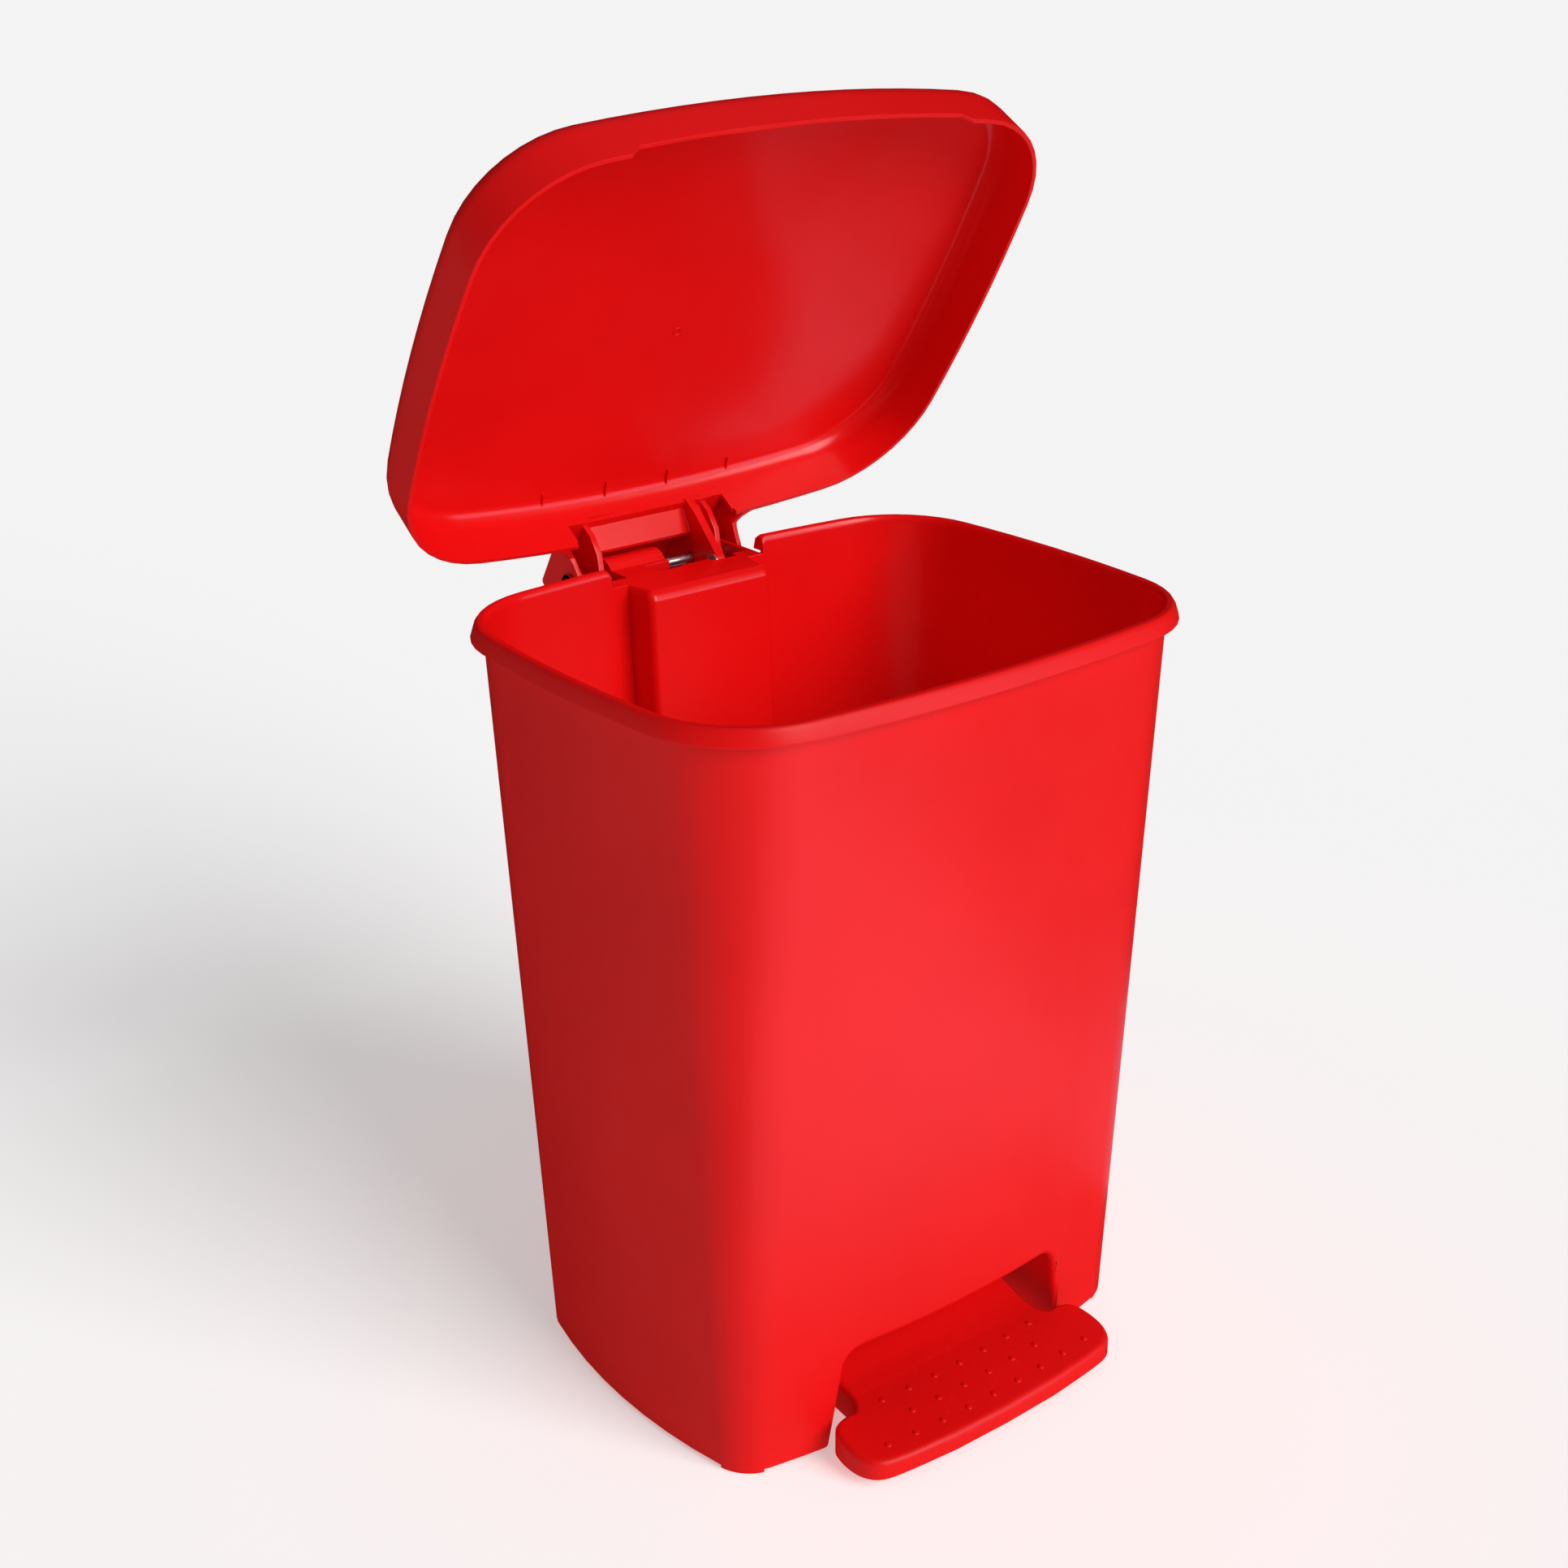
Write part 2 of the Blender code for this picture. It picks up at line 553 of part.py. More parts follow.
# ---------------------------------------------------------------- pedal
def soften(points, rounds):
    """Cut the corners of an open line of points, keeping its two ends."""
    for _ in range(rounds):
        cutting = [points[0]]
        for a, b in zip(points, points[1:]):
            cutting += [(a[0] * 0.75 + b[0] * 0.25, a[1] * 0.75 + b[1] * 0.25),
                        (a[0] * 0.25 + b[0] * 0.75, a[1] * 0.25 + b[1] * 0.75)]
        points = cutting + [points[-1]]
    return points


def pedal_plan(shrink):
    """Outline from above: tread pad with round ears, waisted neck, arm, and lever."""
    pad, arm, lever = (w - shrink for w in (PAD_HALF_WIDTH, ARM_HALF_WIDTH, LEVER_HALF_WIDTH))
    front = PAD_Y + shrink
    rear = PAD_Y + PAD_DEPTH - shrink
    side = [(pad * 0.4, front + 0.0008), (pad - 0.020, front + 0.004),
            (pad - 0.006, front + 0.007), (pad + 0.0004, front + 0.016),
            (pad + 0.0012, rear - 0.015), (pad - 0.002, rear - 0.002),
            (pad - 0.014, rear + 0.001), (arm + 0.005, rear - 0.0005), (arm, rear + 0.008),
            (arm, rear + 0.020), (arm, AXLE_Y - 0.030 - shrink),
            (arm - 0.006, AXLE_Y - 0.022 - shrink), (lever, AXLE_Y - 0.012 - shrink),
            (lever, AXLE_Y), (lever, TUNNEL_END)]
    side = soften(side, 2)
    return [(0.0, front)] + side + [(-x, y) for x, y in reversed(side)]


def make_pedal(mat):
    """Shell open below: tread pad, arm rising into the tunnel, and a lever to the rod."""
    tread = math.tan(math.radians(8))
    lip = 0.0172
    neck_y = PAD_Y + PAD_DEPTH + 0.006
    neck_z = lip + tread * (neck_y - PAD_Y)
    top = [(PAD_Y - 0.01, lip - 0.004), (PAD_Y + 0.002, lip), (neck_y, neck_z),
           (neck_y + 0.014, neck_z + 0.003), (AXLE_Y - 0.060, AXLE_Z + 0.001),
           (AXLE_Y - 0.030, AXLE_Z + 0.010), (AXLE_Y, AXLE_Z + 0.0125),
           (LEVER_Y, LEVER_Z + 0.006), (LEVER_Y + 0.02, LEVER_Z + 0.006)]
    foot = [(LEVER_Y + 0.02, LEVER_Z - 0.006), (LEVER_Y - 0.01, LEVER_Z - 0.009),
            (AXLE_Y, AXLE_Z - 0.011), (AXLE_Y - 0.060, 0.011), (PAD_Y + PAD_DEPTH, 0.0065),
            (PAD_Y - 0.01, 0.007)]
    body = keep(prism("pedal", "Z", pedal_plan(0.0), -0.01, 0.10),
                prism("side", "X", top + foot, -0.1, 0.1))
    lowered = [(y, z - PEDAL_WALL) for y, z in top] + [(LEVER_Y + 0.02, -0.02), (PAD_Y - 0.01, -0.02)]
    room = keep(prism("room", "Z", pedal_plan(PEDAL_WALL), -0.01, 0.10),
                prism("lowered", "X", lowered, -0.1, 0.1))
    cut(body, room)
    # rear end: open between two forks, rounded below the tunnel's end
    cut(body, box("rod_gap", (-LEVER_HALF_WIDTH + PEDAL_WALL, LEVER_Y - 0.014, 0.0),
                  (LEVER_HALF_WIDTH - PEDAL_WALL, LEVER_Y + 0.02, 0.1)))
    cut(body, box("rear_trim", (-0.06, LEVER_Y + 0.0045, 0.0), (0.06, LEVER_Y + 0.03, 0.1)))
    for side in (-1, 1):
        low, high = sorted((side * (LEVER_HALF_WIDTH - PEDAL_WALL / 2),
                            side * (LEVER_HALF_WIDTH - 0.010)))
        join(body, drum("hub", AXLE_Y, AXLE_Z, AXLE_RADIUS + 0.0045, low, high))
    cut(body, drum("axle_hole", AXLE_Y, AXLE_Z, AXLE_RADIUS + RUN, -0.07, 0.07))
    cut(body, drum("rod_hole", LEVER_Y, LEVER_Z, ROD_RADIUS + RUN, 0.03, 0.06, sides=12))
    hang(body, AXLE_Y, AXLE_Z)
    return finish(body, mat)


# ---------------------------------------------------------------- steel parts and cover
def make_rod(mat):
    """Steel wire, its lower hook through the pedal and its upper hook through the crank."""
    low_end = LEVER_HALF_WIDTH + HOOK_END
    high_end = CRANK_X - CRANK_THICKNESS / 2 - HOOK_END
    foot = Vector((ROD_X, LEVER_Y, LEVER_Z))
    head = Vector((ROD_X, CRANK_Y - ROD_LEAD, CRANK_Z))
    route = [Vector((low_end, foot.y, foot.z)), foot, head, Vector((high_end, head.y, head.z))]
    bend = 0.0045
    points = [route[0]]
    for before, corner, after in zip(route, route[1:], route[2:]):
        start = corner + (before - corner).normalized() * bend
        stop = corner + (after - corner).normalized() * bend
        for i in range(5):
            t = i / 4
            points.append(start * (1 - t) ** 2 + corner * 2 * t * (1 - t) + stop * t ** 2)
    points.append(route[-1])
    curve = bpy.data.curves.new("lift_rod", "CURVE")
    curve.dimensions = "3D"
    curve.bevel_depth = ROD_RADIUS
    curve.bevel_resolution = 2
    curve.use_fill_caps = True
    spline = curve.splines.new("POLY")
    spline.points.add(len(points) - 1)
    for slot, point in zip(spline.points, points):
        slot.co = (point.x, point.y - LEVER_Y, point.z - LEVER_Z, 1.0)
    curve.materials.append(mat)
    obj = bpy.data.objects.new("lift_rod", curve)
    bpy.context.scene.collection.objects.link(obj)
    obj.location = (0.0, LEVER_Y, LEVER_Z)
    obj.parent = centre
    return obj


def push_nut(name, mat, y, z, bore, low, pivot=None):
    """Pressed steel ring on the end of a pin."""
    thick = 0.0012
    nut = drum(name, y, z, bore + 0.0032, low, low + thick, sides=20)
    cut(nut, drum("bore", y, z, bore + SLIT / 2, low - 0.001, low + thick + 0.001))
    if pivot:
        hang(nut, *pivot)
    return finish(nut, mat)


def make_pins(mat):
    tongue = NOTCH_HALF_WIDTH + 0.0011 + TONGUE_WALL
    reach = tongue + 0.0035
    finish(drum("lid_hinge_pin", HINGE_Y, HINGE_Z, PIN_RADIUS, -reach, reach), mat)
    push_nut("hinge_nut_left", mat, HINGE_Y, HINGE_Z, PIN_RADIUS, -tongue - 0.0018)
    push_nut("hinge_nut_right", mat, HINGE_Y, HINGE_Z, PIN_RADIUS, tongue + 0.0006)
    slope = (OPENING_HALF_FOOT - OPENING_HALF_TOP) / OPENING_TOP
    wall = OPENING_HALF_TOP + JACKET + slope * (OPENING_TOP + WALL / 2 - AXLE_Z + AXLE_RADIUS + 0.0035)
    finish(drum("pedal_axle", AXLE_Y, AXLE_Z, AXLE_RADIUS, -wall - 0.004, wall + 0.004), mat)
    push_nut("axle_nut_left", mat, AXLE_Y, AXLE_Z, AXLE_RADIUS, -wall - 0.0018)
    push_nut("axle_nut_right", mat, AXLE_Y, AXLE_Z, AXLE_RADIUS, wall + 0.0006)
    push_nut("rod_nut_lower", mat, LEVER_Y, LEVER_Z, ROD_RADIUS, LEVER_HALF_WIDTH + SLIT,
             (LEVER_Y, LEVER_Z))
    push_nut("rod_nut_upper", mat, CRANK_Y - ROD_LEAD, CRANK_Z, ROD_RADIUS,
             CRANK_X - CRANK_THICKNESS / 2 - SLIT - 0.0012, (LEVER_Y, LEVER_Z))


def make_cover(mat, steel):
    """Rear cover of the rod channel: a flat strip that swells into a hood at the hinge."""
    half = CHANNEL_HALF_WIDTH + 0.006
    low = 0.010
    swell = COVER_TOP - 0.24
    skin = 0.0025

    def wall(z):
        return wall_rear(z) + SLIT
    outer = [(wall(low), low), (wall(COVER_TOP), COVER_TOP), (HOOD_Y + skin, COVER_TOP),
             (HOOD_Y + skin, COVER_TOP - 0.012), (wall(swell) + skin, swell), (wall(low) + skin, low)]
    inner = [(wall(swell + 0.006) - 0.01, swell + 0.006),
             (wall(COVER_TOP) - 0.01, COVER_TOP + 0.01), (HOOD_Y, COVER_TOP + 0.01),
             (HOOD_Y, COVER_TOP - 0.012), (wall(swell + 0.006), swell + 0.006)]
    cover = prism("channel_cover", "X", outer, -half, half)
    cut(cover, prism("hood", "X", inner, -half + skin, half - skin))
    for index, x in enumerate((-SCREW_X, SCREW_X)):
        cut(cover, screw_hole(x, SCREW_RADIUS + RUN))
        seat = wall(SCREW_Z) + skin
        shank = post(f"cover_screw_{index + 1}", x, -SCREW_Z, SCREW_RADIUS,
                     seat - 0.0075, seat + 0.001, 12)
        head = post("head", x, -SCREW_Z, SCREW_RADIUS * 2.2, seat + SLIT, seat + 0.0022, 20)
        screw = lay_back(join(shank, head))
        flip(screw)
        finish(screw, steel)
    return finish(cover, mat)


# ---------------------------------------------------------------- the bin
for old in list(bpy.data.objects):
    bpy.data.objects.remove(old, do_unlink=True)

centre = bpy.data.objects.new("bin_centre", None)
centre.location = (0.0, -ORIGIN_Y, 0.0)
bpy.context.scene.collection.objects.link(centre)

red_plastic = material("red_plastic", RED, 0.38, 0.0)
zinc_steel = material("zinc_steel", STEEL, 0.32, 1.0)
screw_steel = material("screw_steel", STEEL, 0.28, 1.0)

make_bucket(red_plastic)
make_feet(red_plastic)
make_lid(red_plastic)
make_pedal(red_plastic)
make_rod(zinc_steel)
make_pins(zinc_steel)
make_cover(red_plastic, screw_steel)
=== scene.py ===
"""Step-on waste bin in red polypropylene: bucket, lid on a rear hinge, foot pedal and lift rod.

Metres, +Z up, the front of the bin towards -Y, pedal held down and lid open.
"""
import json
import math

import bmesh
import bpy
from mathutils import Matrix, Vector


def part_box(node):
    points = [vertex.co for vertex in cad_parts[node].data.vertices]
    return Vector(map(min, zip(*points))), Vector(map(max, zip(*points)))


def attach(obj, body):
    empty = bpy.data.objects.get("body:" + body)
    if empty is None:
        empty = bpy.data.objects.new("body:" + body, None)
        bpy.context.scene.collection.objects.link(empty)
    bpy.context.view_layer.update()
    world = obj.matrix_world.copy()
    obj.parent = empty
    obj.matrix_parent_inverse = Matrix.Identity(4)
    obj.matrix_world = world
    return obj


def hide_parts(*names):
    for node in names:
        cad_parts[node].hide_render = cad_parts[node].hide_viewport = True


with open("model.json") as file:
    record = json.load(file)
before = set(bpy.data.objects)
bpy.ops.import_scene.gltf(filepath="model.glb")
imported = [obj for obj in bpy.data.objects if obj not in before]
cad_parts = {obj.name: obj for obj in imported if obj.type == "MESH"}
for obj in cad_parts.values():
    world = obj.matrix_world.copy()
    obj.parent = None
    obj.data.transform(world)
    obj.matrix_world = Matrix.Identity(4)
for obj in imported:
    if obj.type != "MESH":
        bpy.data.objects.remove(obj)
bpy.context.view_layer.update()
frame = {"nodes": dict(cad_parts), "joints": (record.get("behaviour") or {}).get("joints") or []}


# ------------------------------------------------------------------ bucket
# One injection moulding in red polypropylene: four bowed walls, a turned-down rim, a raised
# floor, the rod's channel inside the rear wall and the hinge bracket. Fine spark texture
# outside, smoother inside, and all its corners are softened as a mould leaves them.
def leave_edit():
    if bpy.context.object and bpy.context.object.mode != "OBJECT":
        bpy.ops.object.mode_set(mode="OBJECT")


def take(piece):
    """Make one piece the only one selected and the active one."""
    leave_edit()
    bpy.ops.object.select_all(action="DESELECT")
    piece.select_set(True)
    bpy.context.view_layer.objects.active = piece
    return piece


def blank_from(node, name):
    """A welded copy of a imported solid, ready to be shaped further."""
    leave_edit()
    piece = bpy.data.objects.new(name, frame["nodes"][node].data.copy())
    piece.data.name = name
    bpy.context.scene.collection.objects.link(piece)
    take(piece)
    bpy.ops.mesh.customdata_custom_splitnormals_clear()
    bpy.ops.object.mode_set(mode="EDIT")
    bpy.ops.mesh.select_all(action="SELECT")
    bpy.ops.mesh.remove_doubles(threshold=0.000004)
    bpy.ops.mesh.mark_sharp(clear=True)
    bpy.ops.mesh.dissolve_limited(angle_limit=math.radians(0.06))
    bpy.ops.object.mode_set(mode="OBJECT")
    return piece


def open_up(piece, kind):
    """Enter edit mode on one piece with nothing selected, ready to pick edges or faces."""
    take(piece)
    bpy.ops.object.mode_set(mode="EDIT")
    bpy.ops.mesh.select_mode(type=kind)
    bpy.ops.mesh.select_all(action="DESELECT")
    return bmesh.from_edit_mesh(piece.data)


def round_off(piece, wanted, width, steps=3, least=30):
    """Round edges as a mould's corners are.

    The edges are those that turn by least degrees or more and pass a test on their middle,
    their direction and their turn, which is positive where the surface is convex.
    """
    count = 0
    for edge in open_up(piece, "EDGE").edges:
        turn = edge.calc_face_angle_signed(0.0)
        if len(edge.link_faces) != 2 or abs(turn) < math.radians(least):
            continue
        a, b = (v.co for v in edge.verts)
        if wanted((a + b) / 2, (b - a).normalized(), turn):
            edge.select_set(True)
            count += 1
    bmesh.update_edit_mesh(piece.data)
    if count:
        bpy.ops.mesh.bevel(offset=width, segments=steps, affect="EDGES", clamp_overlap=False)
    bpy.ops.object.mode_set(mode="OBJECT")


def soften_rest(piece, width, steps=2):
    """Break every remaining sharp edge and shade the piece as one smooth moulding."""
    take(piece)
    rest = piece.modifiers.new("broken edges", "BEVEL")
    rest.width = width
    rest.segments = steps
    rest.limit_method = "ANGLE"
    rest.angle_limit = math.radians(32)
    rest.use_clamp_overlap = False
    rest.miter_outer = "MITER_ARC"
    bpy.ops.object.modifier_apply(modifier=rest.name)
    bpy.ops.object.shade_smooth_by_angle(angle=math.radians(38))
    evened = piece.modifiers.new("evened shading", "WEIGHTED_NORMAL")
    evened.keep_sharp = True
    evened.weight = 90
    bpy.ops.object.modifier_apply(modifier=evened.name)


class Wire:
    """A socket's value in a material, so that shader sums read as plain arithmetic."""

    def __init__(self, paint, socket):
        self.paint = paint
        self.socket = socket

    def sum(self, operation, first, second):
        return self.paint.node("ShaderNodeMath", {"operation": operation}, {0: first, 1: second})

    def __add__(self, other):
        return self.sum("ADD", self, other)

    def __radd__(self, other):
        return self.sum("ADD", other, self)

    def __sub__(self, other):
        return self.sum("SUBTRACT", self, other)

    def __rsub__(self, other):
        return self.sum("SUBTRACT", other, self)

    def __mul__(self, other):
        return self.sum("MULTIPLY", self, other)

    def __rmul__(self, other):
        return self.sum("MULTIPLY", other, self)


class Paint:
    """One material and the nodes that are added to it."""

    def __init__(self, name):
        self.material = bpy.data.materials.new(name)
        self.material.use_nodes = True
        self.tree = self.material.node_tree
        self.shader = self.tree.nodes["Principled BSDF"]

    def feed(self, socket, value):
        if isinstance(value, Wire):
            self.tree.links.new(value.socket, socket)
        else:
            socket.default_value = value

    def node(self, kind, settings, sockets, out=0):
        made = self.tree.nodes.new(kind)
        for key, value in settings.items():
            setattr(made, key, value)
        for key, value in sockets.items():
            self.feed(made.inputs[key], value)
        return Wire(self, made.outputs[out])

    def place(self):
        return self.node("ShaderNodeTexCoord", {}, {}, "Object")

    def noise(self, scale, detail, rough=0.55):
        return self.node("ShaderNodeTexNoise", {}, {
            "Vector": self.place(), "Scale": scale, "Detail": detail, "Roughness": rough})

    def band(self, value, low, high):
        """0 below low, 1 above high, and a smooth step between them."""
        return self.node("ShaderNodeMapRange", {"interpolation_type": "SMOOTHSTEP"}, {
            "Value": value, "From Min": low, "From Max": high, "To Min": 0.0, "To Max": 1.0})

    def blend(self, mask, first, second):
        """A colour between two colours."""
        return self.node("ShaderNodeMix", {"data_type": "RGBA"}, {
            0: mask, 6: first, 7: second}, 2)

    def edges(self, reach):
        """Where the surface turns within reach: rounded corners and rims."""
        bent = self.node("ShaderNodeBevel", {"samples": 4}, {"Radius": reach})
        flat = self.node("ShaderNodeNewGeometry", {}, {}, "Normal")
        match = self.node("ShaderNodeVectorMath", {"operation": "DOT_PRODUCT"}, {
            0: bent, 1: flat}, "Value")
        return self.band(1 - match, 0.02, 0.25)

    def bump(self, height, depth, strength=1.0, onto=None):
        sockets = {"Height": height, "Distance": depth, "Strength": strength}
        if onto:
            sockets["Normal"] = onto
        return self.node("ShaderNodeBump", {}, sockets)

    def up(self):
        """Height above the floor."""
        return self.node("ShaderNodeSeparateXYZ", {}, {0: self.place()}, "Z")


RED = (0.82, 0.0050, 0.0054, 1.0)
RED_DEEP = (0.77, 0.0042, 0.0046, 1.0)
RED_WORN = (0.88, 0.022, 0.024, 1.0)


def red_plastic(name, roughness, sheen, grain, scuff):
    """Moulded polypropylene, solid red: grain is the texture's depth, scuff how worn it is."""
    paint = Paint(name)
    drift = paint.noise(7.0, 2.0)
    cloud = paint.noise(46.0, 4.0)
    pits = paint.noise(1900.0, 2.0, 0.6)
    streaks = paint.noise(240.0, 3.0, 0.7)
    low = 1 - paint.band(paint.up(), 0.004, 0.055)
    worn = paint.edges(0.0012) * paint.band(cloud, 0.42, 0.72) * scuff
    foot = low * paint.band(streaks, 0.52, 0.78) * scuff
    base = paint.blend(paint.band(drift, 0.3, 0.7), RED_DEEP, RED)
    base = paint.blend(worn * 0.55 + foot * 0.35, base, RED_WORN)
    paint.feed(paint.shader.inputs["Base Color"], base)
    rough = roughness + (cloud - 0.5) * 0.10 + (streaks - 0.5) * 0.05 + worn * 0.12 + foot * 0.15
    paint.feed(paint.shader.inputs["Roughness"], rough)
    moulding = paint.bump(pits, grain)
    moulding = paint.bump(drift, 0.0009, 0.35, moulding)
    paint.feed(paint.shader.inputs["Normal"], moulding)
    paint.shader.inputs["IOR"].default_value = 1.49
    paint.shader.inputs["Specular IOR Level"].default_value = sheen
    return paint.material


def dress(piece, material, body, lining=None, core=None):
    """Give a finished piece its material and its body.

    Faces that look towards the core, such as the inside of a shell, take the lining.
    """
    piece.data.materials.clear()
    piece.data.materials.append(material)
    for face in piece.data.polygons:
        face.material_index = 0
    if lining:
        piece.data.materials.append(lining)
        for face in piece.data.polygons:
            if face.normal.dot(face.center - core(face.center)) < 0:
                face.material_index = 1
    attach(piece, body)
    return piece


satin_red = red_plastic("satin red polypropylene", 0.36, 0.17, 0.00004, 0.7)
smooth_red = red_plastic("smooth red polypropylene", 0.22, 0.34, 0.000006, 0.4)

hinge = Vector(frame["joints"][0]["pos_m"])
middle_y = -0.018           # the middle of the bucket, front to back
opening_x = 0.0848          # half the width of the pedal's opening
opening_top = 0.062
front_y = -0.1205           # just behind the front wall's outer face
shelf = hinge.z + 0.006     # top of the channel column
column_x = 0.041            # half its width
notch_x = 0.0516            # half the width of the notch in the rim
rim_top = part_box("bucket_body")[1].z

bucket = blank_from("bucket_body", "bucket")
round_off(bucket, lambda p, d, turn: p.y < front_y and abs(p.x) < opening_x
          and 0.0005 < p.z < opening_top, 0.0042, 4)
round_off(bucket, lambda p, d, turn: turn > 0 and abs(p.x) < 0.001 and abs(d.x) > 0.9
          and shelf - 0.006 < p.z < shelf + 0.0002 and p.y < 0.092, 0.0020, 3, 20)
round_off(bucket, lambda p, d, turn: turn > 0 and abs(abs(p.x) - column_x) < 0.0004
          and 0.07 < p.z < shelf + 0.0002 and p.y < 0.104, 0.0044, 5)
round_off(bucket, lambda p, d, turn: turn > 0 and abs(abs(p.x) - notch_x) < 0.0004
          and p.z > rim_top - 0.0009 and p.y > 0.09, 0.0028, 4, 20)
soften_rest(bucket, 0.00035)
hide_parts("bucket_body")
dress(bucket, satin_red, "bucket", smooth_red,
      lambda p: Vector((0.0, middle_y, p.z)))


# ------------------------------------------------------------------ foot pads
# Four small red crescents under the wall's corners, each with a peg pushed up into a post of
# the bucket. They are moulded in the same plastic.
for index in range(1, 5):
    pad = blank_from(f"foot_pad_{index}", f"foot_crescent_{index}")
    soften_rest(pad, 0.0004)
    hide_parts(f"foot_pad_{index}")
    dress(pad, satin_red, "bucket")


# ------------------------------------------------------------------ channel cover
# A red strip that closes the rod's channel behind the rear wall and swells into a hood below
# the hinge. Two screws hold its foot.
cover_x = 0.0445            # half the cover's width
cover = blank_from("channel_cover", "rear_cover")
round_off(cover, lambda p, d, turn: turn > 0 and abs(abs(p.x) - cover_x) < 0.0005
          and p.y > 0.1, 0.0016, 3)
soften_rest(cover, 0.0005)
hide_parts("channel_cover")
dress(cover, satin_red, "bucket")


# ------------------------------------------------------------------ cover screws
# Zinc-plated pan head screws with a cross recess, turned into the bucket's wall through the
# foot of the cover.
ZINC_DULL = (0.55, 0.56, 0.58, 1.0)
ZINC_BRIGHT = (0.68, 0.69, 0.70, 1.0)


def plated_steel(name, roughness):
    """Zinc plate on wire or pressed steel: faint mottling and fine drawn scratches."""
    paint = Paint(name)
    mottle = paint.noise(420.0, 4.0)
    drawn = paint.noise(2600.0, 2.0, 0.7)
    base = paint.blend(paint.band(mottle, 0.35, 0.7), ZINC_DULL, ZINC_BRIGHT)
    paint.feed(paint.shader.inputs["Base Color"], base)
    paint.feed(paint.shader.inputs["Roughness"], roughness + (mottle - 0.5) * 0.16)
    paint.feed(paint.shader.inputs["Normal"], paint.bump(drawn, 0.00001))
    paint.shader.inputs["Metallic"].default_value = 1.0
    return paint.material


def turned(name, vertices, radius, depth, middle, axis):
    """A short round bar along one axis."""
    leave_edit()
    bpy.ops.object.select_all(action="DESELECT")
    lie = {"X": (0.0, math.pi / 2, 0.0), "Y": (math.pi / 2, 0.0, 0.0), "Z": (0.0, 0.0, 0.0)}[axis]
    bpy.ops.mesh.primitive_cylinder_add(vertices=vertices, radius=radius, depth=depth,
                                        location=middle, rotation=lie)
    piece = bpy.context.object
    piece.name = name
    piece.data.name = name
    bpy.ops.object.transform_apply(location=True, rotation=True, scale=True)
    return piece


def block(name, middle, size, turn=0.0):
    """A box of one size, tipped about the X axis."""
    leave_edit()
    bpy.ops.object.select_all(action="DESELECT")
    bpy.ops.mesh.primitive_cube_add(size=1.0, location=middle, rotation=(turn, 0.0, 0.0), scale=size)
    piece = bpy.context.object
    piece.name = name
    piece.data.name = name
    bpy.ops.object.transform_apply(location=True, rotation=True, scale=True)
    return piece


head_depth = 0.0019
shank_radius = 0.0015
shank_overlap = 0.0004      # how far the shank runs up into the head
cross_long, cross_wide, cross_deep = 0.0034, 0.0007, 0.0020
bright_screw = plated_steel("zinc plated screw", 0.26)
for index in (1, 2):
    low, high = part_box(f"cover_screw_{index}")
    middle = (low + high) / 2
    screw = turned(f"pan_head_screw_{index}", 40, (high.x - low.x) / 2, head_depth,
                   (middle.x, high.y - head_depth / 2, middle.z), "Y")
    round_off(screw, lambda p, d, turn: p.y > high.y - 0.0001, 0.0011, 5)
    shank_top = high.y - head_depth + shank_overlap
    shank = turned("shank", 24, shank_radius, shank_top - low.y,
                   (middle.x, (low.y + shank_top) / 2, middle.z), "Y")
    round_off(shank, lambda p, d, turn: p.y < low.y + 0.0001, 0.0005, 2)
    for wide, tall in ((cross_long, cross_wide), (cross_wide, cross_long)):
        blade = block("blade", (middle.x, high.y, middle.z), (wide, cross_deep, tall))
        take(screw)
        recess = screw.modifiers.new("recess", "BOOLEAN")
        recess.object = blade
        recess.operation = "DIFFERENCE"
        recess.solver = "EXACT"
        bpy.ops.object.modifier_apply(modifier=recess.name)
        bpy.data.objects.remove(blade)
    take(screw)
    shank.select_set(True)
    bpy.ops.object.join()
    soften_rest(screw, 0.00008)
    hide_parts(f"cover_screw_{index}")
    dress(screw, bright_screw, "bucket")


# ------------------------------------------------------------------ hinge pin and pedal axle
# Straight zinc-plated steel pins with chamfered ends. The hinge pin passes through the lid's
# tongue and the bucket's knuckle; the axle passes through the tunnel's walls and the pedal.
zinc = plated_steel("zinc plated steel", 0.30)
for node, name in (("lid_hinge_pin", "hinge_pin"), ("pedal_axle", "pedal_axle_pin")):
    low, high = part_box(node)
    pin = turned(name, 40, (high.z - low.z) / 2, high.x - low.x, (low + high) / 2, "X")
    round_off(pin, lambda p, d, turn: True, 0.0006, 3)
    soften_rest(pin, 0.00005)
    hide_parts(node)
    dress(pin, zinc, "bucket")


# ------------------------------------------------------------------ push nuts
# Pressed spring steel rings pushed over the ends of the pins and of the rod: a dished ring
# with a turned outer edge that grips by its bore.
def push_nut(node, name, bore, body):
    low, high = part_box(node)
    middle = (low + high) / 2
    radius = (high.z - low.z) / 2
    nut = turned(name, 48, radius, high.x - low.x, middle, "X")
    for face in open_up(nut, "FACE").faces:
        face.select_set(abs(face.normal.x) > 0.9)
    bmesh.update_edit_mesh(nut.data)
    bpy.ops.mesh.inset(thickness=(radius - bore) * 0.45)
    bpy.ops.mesh.inset(thickness=(radius - bore) * 0.55)
    bpy.ops.mesh.bridge_edge_loops()
    bpy.ops.object.mode_set(mode="OBJECT")
    round_off(nut, lambda p, d, turn: (p.yz - middle.yz).length > bore * 1.2, 0.00035, 3)
    soften_rest(nut, 0.00008)
    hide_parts(node)
    return dress(nut, zinc, body)


